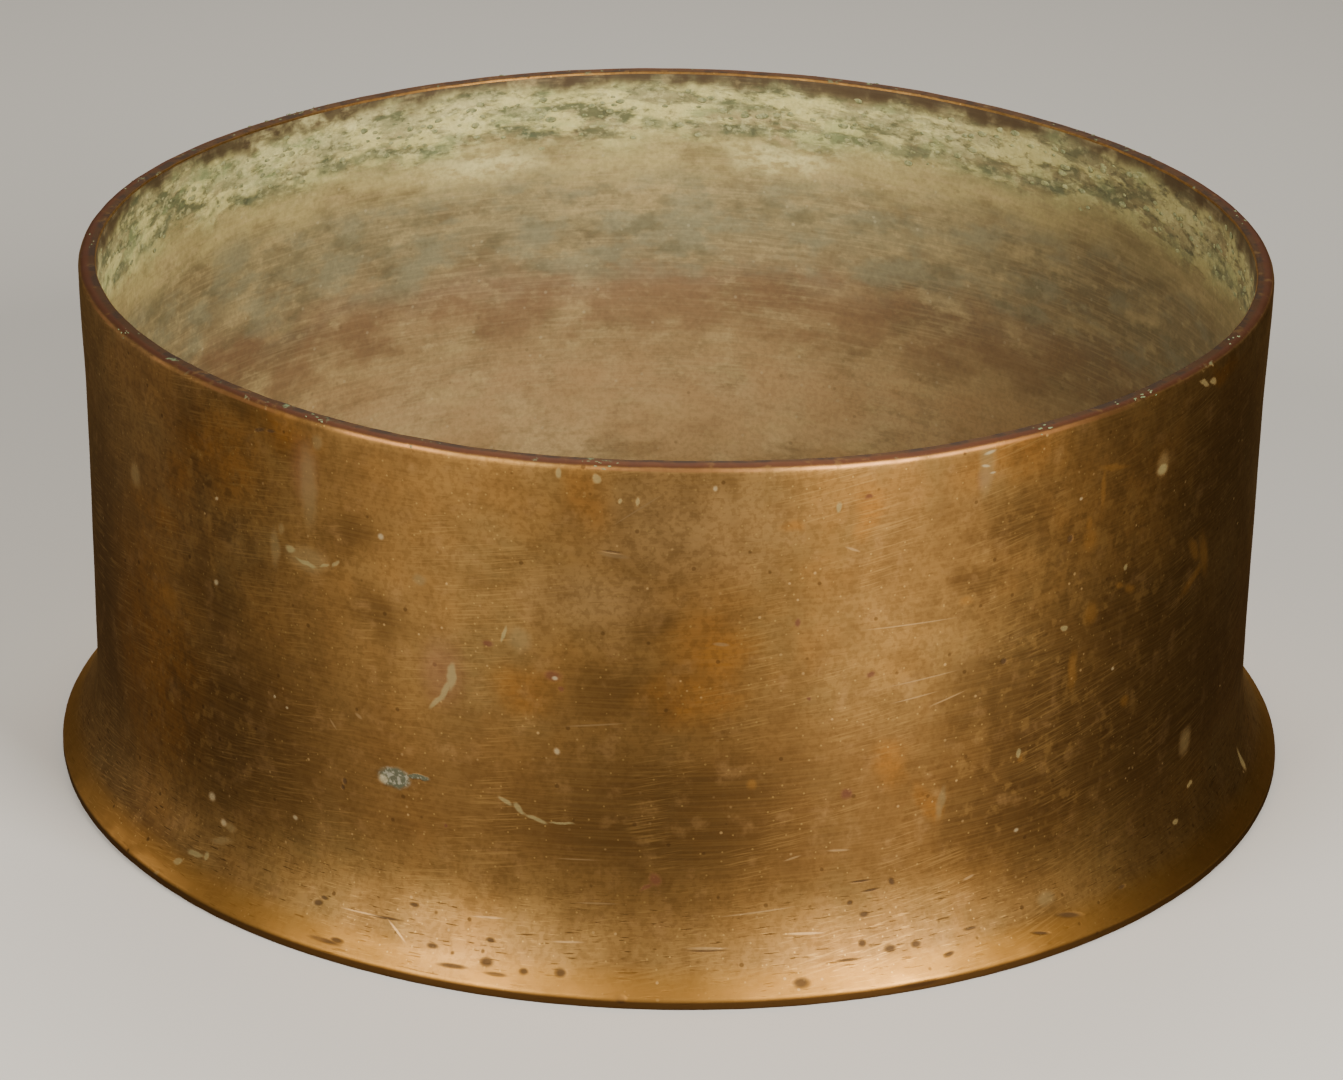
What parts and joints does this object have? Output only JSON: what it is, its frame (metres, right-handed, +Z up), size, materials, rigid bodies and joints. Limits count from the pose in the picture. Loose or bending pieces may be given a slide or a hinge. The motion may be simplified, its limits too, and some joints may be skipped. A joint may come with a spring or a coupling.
{
  "type": "straight-walled brass vessel",
  "caption": "Round, straight-walled vessel of heavy aged brass, open at the top, with a flared foot and a flat floor inside; it stands on a table and holds a plant pot, fruit or water.",
  "frame": {"origin": "middle of the foot, on the surface that the vessel stands on", "axes": "+Z up along the vessel's axis of symmetry; X and Y are any two directions across it, with -Y towards the viewer of the front"},
  "size_m": [0.4046, 0.4046, 0.1687],
  "materials": {
    "wall_brass": "old golden-brown brass, hand-polished outside with brown patina clouds and fine scratches, dark brown on the rim, verdigris and tan tarnish inside",
    "floor_brass": "dull tan to brown tarnish with faint water stains",
    "brazing_brass": "rough, paler yellow brazing metal, tarnished"
  },
  "bodies": {
    "root": {"side_wall": "wall_brass", "floor_plate": "floor_brass", "floor_braze": "brazing_brass"}
  },
  "joints": []
}
